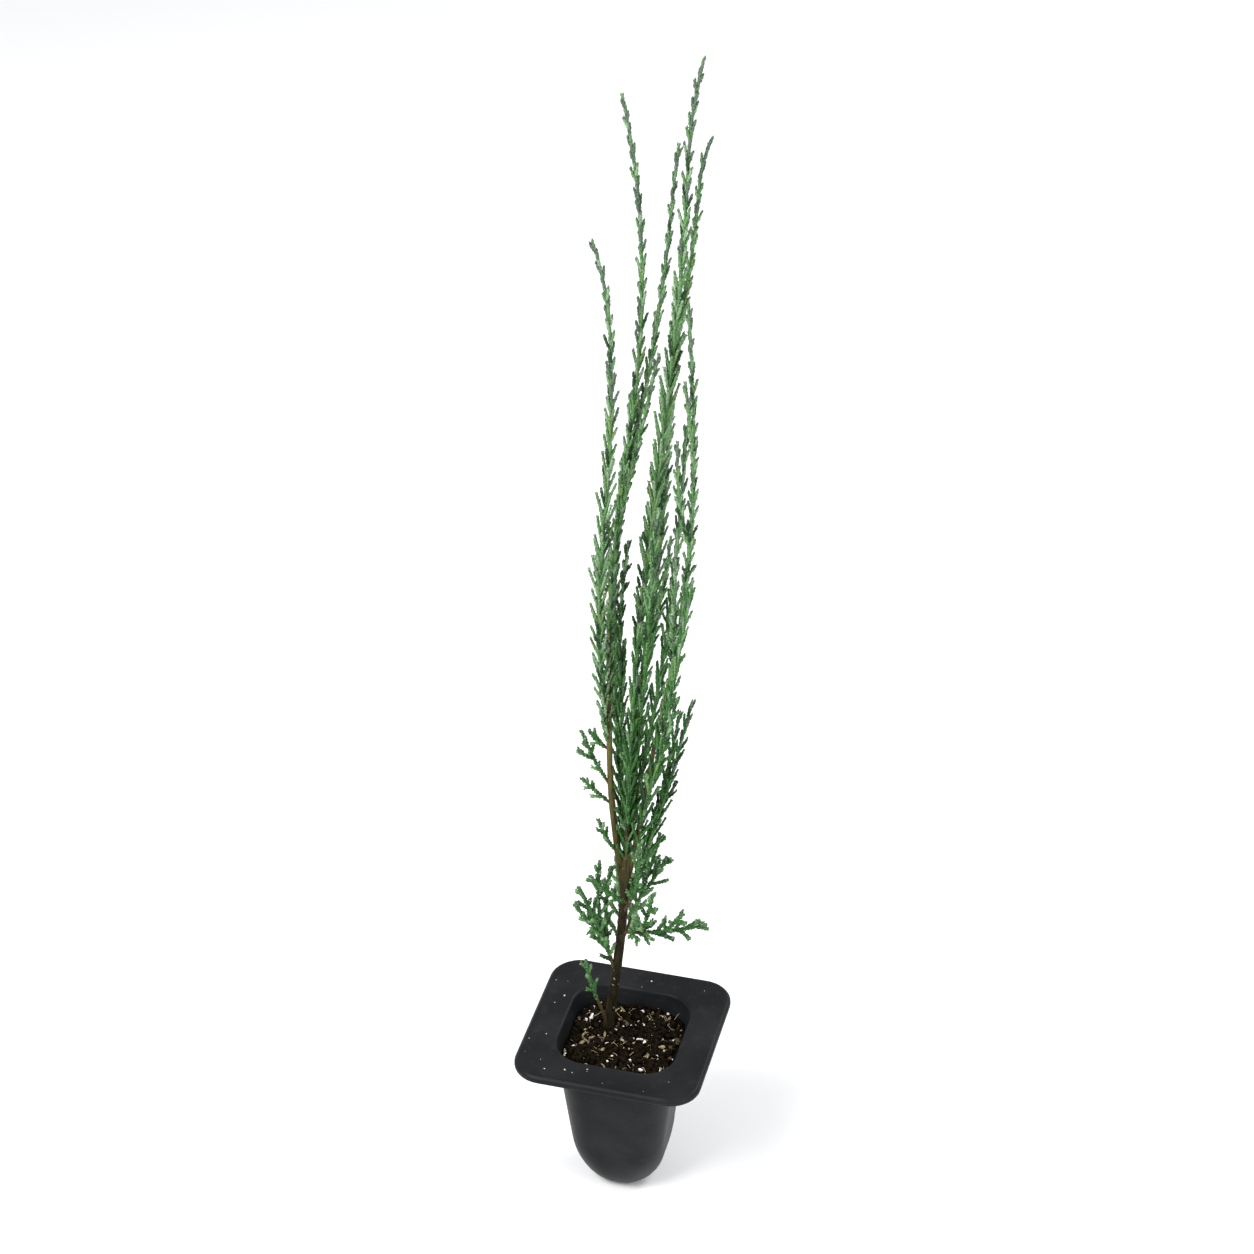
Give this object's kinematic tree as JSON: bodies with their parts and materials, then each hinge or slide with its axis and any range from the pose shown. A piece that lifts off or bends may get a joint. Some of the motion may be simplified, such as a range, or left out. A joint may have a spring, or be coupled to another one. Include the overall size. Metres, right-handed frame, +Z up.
{
  "type": "potted young juniper shrub",
  "caption": "Young blue arrow juniper: a slim trunk forking into upright boughs and narrow whips of scaly shoots, standing in one black moulded cell of potting mix.",
  "frame": {"origin": "middle of the pot's flat underside", "axes": "+Z up along the crown, -Y towards the front that the picture shows, +X to its right"},
  "size_m": [0.0734, 0.0734, 0.4743],
  "materials": {
    "pot_plastic": "satin",
    "potting_mix": "matte",
    "bark": "matte",
    "foliage": "matte",
    "young_foliage": "matte"
  },
  "bodies": {
    "root": {"pot": "pot_plastic", "potting_mix": "potting_mix", "trunk": "bark", "left_bough": "bark", "right_bough": "bark", "back_bough": "bark", "main_leader": "foliage", "left_leader": "foliage", "outer_leader": "foliage", "right_leader": "foliage", "right_shoot": "foliage", "side_shoot": "foliage", "front_shoot": "foliage", "middle_shoot": "foliage", "left_shoot": "foliage", "inner_shoot": "foliage", "back_leader": "foliage", "back_shoot": "foliage", "low_right_tuft": "young_foliage", "front_tuft": "young_foliage", "low_left_tuft": "young_foliage", "left_tuft": "young_foliage", "fork_tuft": "young_foliage", "back_tuft": "young_foliage", "back_right_tuft": "young_foliage", "foot_sprig": "young_foliage"}
  },
  "joints": []
}
